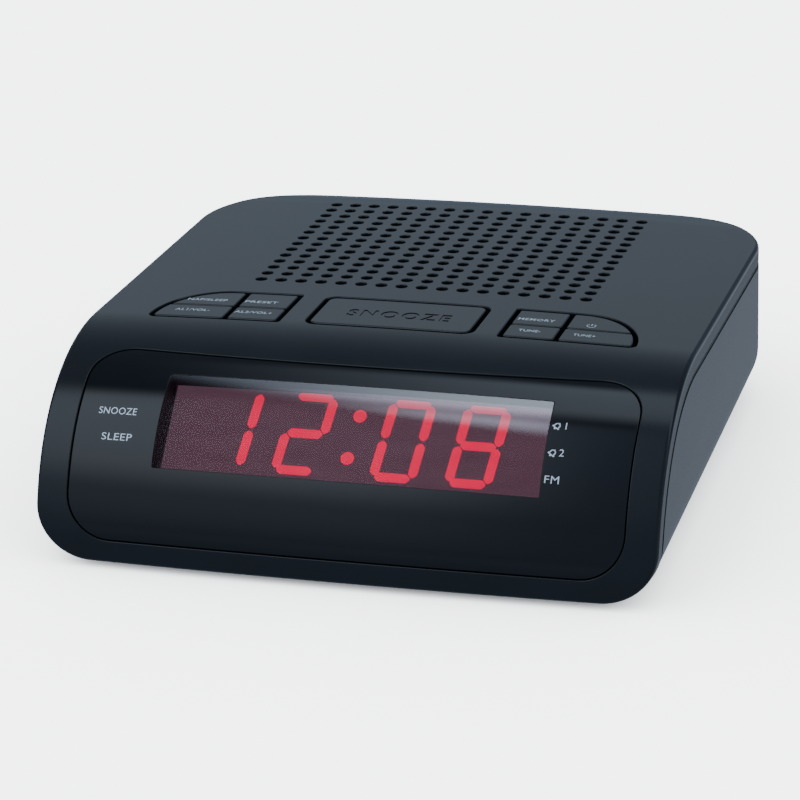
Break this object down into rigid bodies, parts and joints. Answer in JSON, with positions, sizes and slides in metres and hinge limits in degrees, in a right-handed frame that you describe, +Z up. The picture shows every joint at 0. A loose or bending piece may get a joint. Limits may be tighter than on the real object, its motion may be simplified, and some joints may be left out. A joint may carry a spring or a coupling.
{
  "type": "clock radio",
  "caption": "Low mains clock radio: the matt cover rolls from a speaker grille and flat keys into a tall curved face with a glossy panel and a red LED clock",
  "frame": {"origin": "middle of the housing's box at the level of the surface it stands on, under the four rubber feet", "axes": "+X across, to the user's right as they face the display; +Y from the curved face to the back; +Z up"},
  "size_m": [0.1368, 0.1497, 0.043],
  "materials": {
    "cover_plastic": "fine matt texture, blue-grey",
    "cabinet_plastic": "fine matt texture, grey",
    "key_plastic": "smooth satin, blue-grey",
    "gloss_black": "polished black",
    "window_tint": "polished, tinted dark red, see-through",
    "led_face": "dark face with lit red segments",
    "inner_plastic": "matt black",
    "circuit_board": "green solder mask",
    "chip_plastic": "matt black",
    "bare_steel": "zinc plated",
    "core_steel": "dark laminations",
    "winding_tape": "yellow tape",
    "cone_paper": "black pressed paper",
    "magnet_ferrite": "raw ferrite",
    "foam": "black foam strip",
    "rubber": "matt black",
    "cable_grey": "grey ribbon sleeve",
    "capacitor_sleeve": "shrunk blue sleeve"
  },
  "bodies": {
    "housing": {"aerial_gland": "rubber", "battery_bridge_contact": "bare_steel", "battery_negative_contact": "bare_steel", "battery_positive_contact": "bare_steel", "bottom_cabinet": "cabinet_plastic", "case_screw_front_left": "bare_steel", "case_screw_front_right": "bare_steel", "case_screw_rear_left": "bare_steel", "case_screw_rear_right": "bare_steel", "clock_chip": "chip_plastic", "cord_gland": "rubber", "display_board": "circuit_board", "display_shroud": "inner_plastic", "display_window": "window_tint", "filter_capacitor": "capacitor_sleeve", "foot_front_left": "rubber", "foot_front_right": "rubber", "foot_rear_left": "rubber", "foot_rear_right": "rubber", "front_panel": "gloss_black", "key_board": "circuit_board", "led_module": "led_face", "main_board": "circuit_board", "memory_switch": "inner_plastic", "power_switch": "inner_plastic", "preset_switch": "inner_plastic", "radio_chip": "chip_plastic", "ribbon_cable": "cable_grey", "sleep_switch": "inner_plastic", "snooze_switch": "inner_plastic", "speaker_frame": "bare_steel", "speaker_gasket": "foam", "speaker_magnet": "magnet_ferrite", "top_cover": "cover_plastic", "transformer_core": "core_steel", "transformer_winding": "winding_tape", "tuner_can": "bare_steel", "tuning_down_switch": "inner_plastic", "tuning_up_switch": "inner_plastic", "voltage_regulator": "chip_plastic", "volume_down_switch": "inner_plastic", "volume_up_switch": "inner_plastic"},
    "snooze_key": {"snooze_key": "key_plastic"},
    "volume_up_key": {"volume_up_key": "key_plastic"},
    "volume_down_key": {"volume_down_key": "key_plastic"},
    "preset_key": {"preset_key": "key_plastic"},
    "sleep_key": {"sleep_key": "key_plastic"},
    "tuning_down_key": {"tuning_down_key": "key_plastic"},
    "tuning_up_key": {"tuning_up_key": "key_plastic"},
    "memory_key": {"memory_key": "key_plastic"},
    "power_key": {"power_key": "key_plastic"},
    "speaker_cone": {"speaker_cone": "cone_paper"},
    "battery_door": {"battery_door": "cabinet_plastic"}
  },
  "joints": [
    {"name": "snooze_press", "type": "slide", "parent": "housing", "child": "snooze_key", "axis": [0, -0.0436, -0.999], "range_m": [0, 0.0008], "stiffness_N_per_m": 400},
    {"name": "volume_up_press", "type": "slide", "parent": "housing", "child": "volume_up_key", "axis": [0, -0.0436, -0.999], "range_m": [0, 0.0008], "stiffness_N_per_m": 400},
    {"name": "volume_down_press", "type": "slide", "parent": "housing", "child": "volume_down_key", "axis": [0, -0.0436, -0.999], "range_m": [0, 0.0008], "stiffness_N_per_m": 400},
    {"name": "preset_press", "type": "slide", "parent": "housing", "child": "preset_key", "axis": [0, -0.0436, -0.999], "range_m": [0, 0.0008], "stiffness_N_per_m": 400},
    {"name": "sleep_press", "type": "slide", "parent": "housing", "child": "sleep_key", "axis": [0, -0.0436, -0.999], "range_m": [0, 0.0008], "stiffness_N_per_m": 400},
    {"name": "tuning_down_press", "type": "slide", "parent": "housing", "child": "tuning_down_key", "axis": [0, -0.0436, -0.999], "range_m": [0, 0.0008], "stiffness_N_per_m": 400},
    {"name": "tuning_up_press", "type": "slide", "parent": "housing", "child": "tuning_up_key", "axis": [0, -0.0436, -0.999], "range_m": [0, 0.0008], "stiffness_N_per_m": 400},
    {"name": "memory_press", "type": "slide", "parent": "housing", "child": "memory_key", "axis": [0, -0.0436, -0.999], "range_m": [0, 0.0008], "stiffness_N_per_m": 400},
    {"name": "power_press", "type": "slide", "parent": "housing", "child": "power_key", "axis": [0, -0.0436, -0.999], "range_m": [0, 0.0008], "stiffness_N_per_m": 400},
    {"name": "cone_stroke", "type": "slide", "parent": "housing", "child": "speaker_cone", "axis": [0, 0.0436, 0.999], "range_m": [-0.0008, 0.0008], "stiffness_N_per_m": 2500},
    {"name": "door_hinge", "type": "hinge", "parent": "housing", "child": "battery_door", "pos_m": [0, -0.03544, 0.0029], "axis": [-1, 0, 0], "range_deg": [0, 80]}
  ]
}
